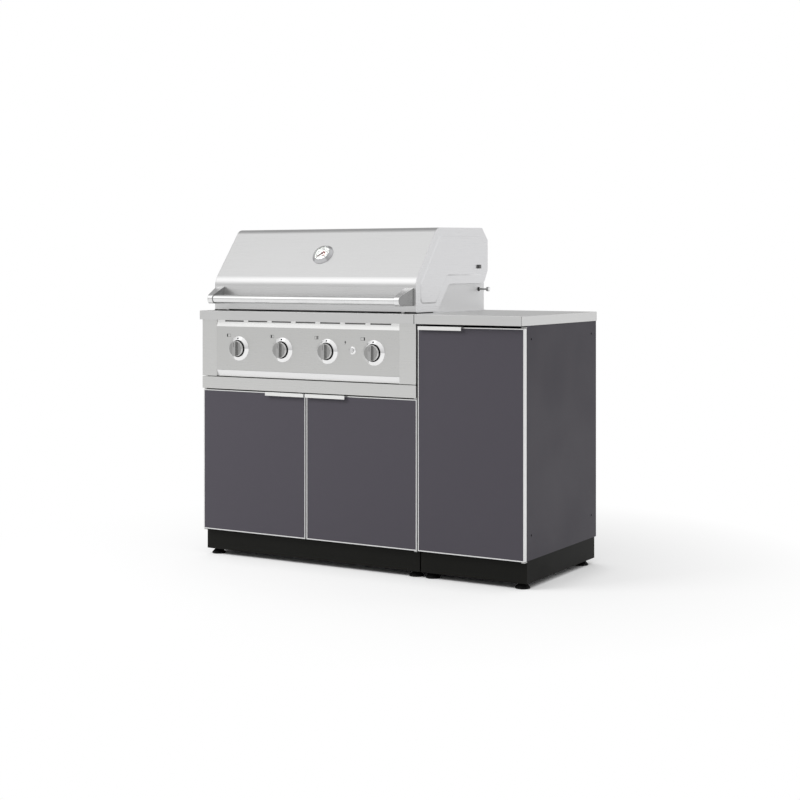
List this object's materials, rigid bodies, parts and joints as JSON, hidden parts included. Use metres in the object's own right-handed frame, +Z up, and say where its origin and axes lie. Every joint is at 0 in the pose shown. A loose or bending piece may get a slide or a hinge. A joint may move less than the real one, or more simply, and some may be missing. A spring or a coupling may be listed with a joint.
{
  "type": "outdoor kitchen cabinet set",
  "caption": "Outdoor kitchen cabinets with stainless tops: a built-in gas grill with a lifting hood over hinged doors, beside a storage cabinet, on a dark plinth with levelling feet.",
  "frame": {"origin": "on the floor, under the middle of the set's bounding box, with the feet wound in", "axes": "+X to the right along the front, +Y to the back, +Z up"},
  "size_m": [1.3208, 0.6274, 1.2065],
  "materials": {
    "stainless": "brushed stainless steel sheet",
    "polished_stainless": "satin polished stainless steel",
    "slate": "slate grey powder coat",
    "aluminium_edge": "satin anodised aluminium",
    "plinth_black": "matt black",
    "foot_black": "black moulded plastic with a threaded stem",
    "knob_metal": "satin metal",
    "zinc": "zinc plated steel",
    "rod_steel": "round stainless steel rod",
    "button_black": "black plastic",
    "dial_white": "white printed dial",
    "needle_red": "painted needle",
    "glass": "clear glass",
    "brass": "brass valves on a steel pipe"
  },
  "bodies": {
    "cabinets": {"grill_countertop": "stainless", "storage_countertop": "stainless", "apron_rail": "stainless", "fascia_stiles": "stainless", "control_panel": "stainless", "firebox_sides": "stainless", "firebox_walls": "stainless", "flame_tamers": "stainless", "burner_tubes": "stainless", "tray_runners": "stainless", "control_bezels": "polished_stainless", "rotisserie_stud": "polished_stainless", "lid_pivot_bolts": "polished_stainless", "grill_side_left": "slate", "grill_side_right": "slate", "grill_floor": "slate", "grill_back": "slate", "storage_side_left": "slate", "storage_side_right": "slate", "storage_floor": "slate", "storage_back": "slate", "storage_shelf": "slate", "grill_plinth": "plinth_black", "storage_plinth": "plinth_black", "top_stretchers": "zinc", "shelf_pins": "zinc", "door_pivot_brackets": "zinc", "cooking_grates": "rod_steel", "warming_rack": "rod_steel", "gas_manifold": "brass"},
    "drip_tray": {"drip_tray": "stainless"},
    "igniter_button": {"igniter_button": "button_black"},
    "lid": {"lid_skin": "stainless", "lid_end_left": "stainless", "lid_end_right": "stainless", "lid_handle_bar": "polished_stainless", "lid_handle_brackets": "polished_stainless", "thermometer_case": "polished_stainless", "thermometer_dial": "dial_white", "thermometer_lens": "glass"},
    "thermometer_needle": {"thermometer_needle": "needle_red"},
    "grill_feet": {"grill_feet": "foot_black"},
    "storage_feet": {"storage_feet": "foot_black"},
    "left_door": {"left_door_frame": "aluminium_edge", "left_door_panel": "slate", "left_door_pull": "aluminium_edge"},
    "right_door": {"right_door_frame": "aluminium_edge", "right_door_panel": "slate", "right_door_pull": "aluminium_edge"},
    "storage_door": {"storage_door_frame": "aluminium_edge", "storage_door_panel": "slate", "storage_door_pull": "aluminium_edge"},
    "valve_stem_1": {"valve_stem_1": "zinc"},
    "knob_1": {"knob_1": "knob_metal"},
    "valve_stem_2": {"valve_stem_2": "zinc"},
    "knob_2": {"knob_2": "knob_metal"},
    "valve_stem_3": {"valve_stem_3": "zinc"},
    "knob_3": {"knob_3": "knob_metal"},
    "valve_stem_4": {"valve_stem_4": "zinc"},
    "knob_4": {"knob_4": "knob_metal"}
  },
  "joints": [
    {"name": "lid_hinge", "type": "hinge", "parent": "cabinets", "child": "lid", "pos_m": [-0.2032, 0.2185, 1.0635], "axis": [-1, 0, 0], "range_deg": [0, 90]},
    {"name": "thermometer_needle_turn", "type": "hinge", "parent": "lid", "child": "thermometer_needle", "pos_m": [-0.2032, -0.16957, 1.11153], "axis": [0, 0.7837, -0.6211], "range_deg": [0, 270], "stiffness_Nm_per_rad": 0.0005},
    {"name": "left_door_hinge", "type": "hinge", "parent": "cabinets", "child": "left_door", "pos_m": [-0.6517, -0.2665, 0.353], "axis": [0, 0, -1], "range_deg": [0, 95]},
    {"name": "right_door_hinge", "type": "hinge", "parent": "cabinets", "child": "right_door", "pos_m": [0.2453, -0.2665, 0.353], "axis": [0, 0, 1], "range_deg": [0, 95]},
    {"name": "storage_door_hinge", "type": "hinge", "parent": "cabinets", "child": "storage_door", "pos_m": [0.6517, -0.2665, 0.47775], "axis": [0, 0, 1], "range_deg": [0, 95]},
    {"name": "drip_tray_slide", "type": "slide", "parent": "cabinets", "child": "drip_tray", "axis": [0, -1, 0], "range_m": [0, 0.4]},
    {"name": "igniter_press", "type": "slide", "parent": "cabinets", "child": "igniter_button", "axis": [0, 1, 0], "range_m": [0, 0.0025], "stiffness_N_per_m": 800},
    {"name": "grill_feet_height", "type": "slide", "parent": "cabinets", "child": "grill_feet", "axis": [0, 0, -1], "range_m": [0, 0.0254]},
    {"name": "storage_feet_height", "type": "slide", "parent": "cabinets", "child": "storage_feet", "axis": [0, 0, -1], "range_m": [0, 0.0254]},
    {"name": "valve_stem_1_press", "type": "slide", "parent": "cabinets", "child": "valve_stem_1", "axis": [0, 1, 0], "range_m": [0, 0.003], "stiffness_N_per_m": 800},
    {"name": "knob_1_turn", "type": "hinge", "parent": "valve_stem_1", "child": "knob_1", "pos_m": [-0.4921, -0.2799, 0.76535], "axis": [0, -1, 0], "range_deg": [0, 225]},
    {"name": "valve_stem_2_press", "type": "slide", "parent": "cabinets", "child": "valve_stem_2", "axis": [0, 1, 0], "range_m": [0, 0.003], "stiffness_N_per_m": 800},
    {"name": "knob_2_turn", "type": "hinge", "parent": "valve_stem_2", "child": "knob_2", "pos_m": [-0.2995, -0.2799, 0.76535], "axis": [0, -1, 0], "range_deg": [0, 225]},
    {"name": "valve_stem_3_press", "type": "slide", "parent": "cabinets", "child": "valve_stem_3", "axis": [0, 1, 0], "range_m": [0, 0.003], "stiffness_N_per_m": 800},
    {"name": "knob_3_turn", "type": "hinge", "parent": "valve_stem_3", "child": "knob_3", "pos_m": [-0.1069, -0.2799, 0.76535], "axis": [0, -1, 0], "range_deg": [0, 225]},
    {"name": "valve_stem_4_press", "type": "slide", "parent": "cabinets", "child": "valve_stem_4", "axis": [0, 1, 0], "range_m": [0, 0.003], "stiffness_N_per_m": 800},
    {"name": "knob_4_turn", "type": "hinge", "parent": "valve_stem_4", "child": "knob_4", "pos_m": [0.0857, -0.2799, 0.76535], "axis": [0, -1, 0], "range_deg": [0, 225]}
  ]
}
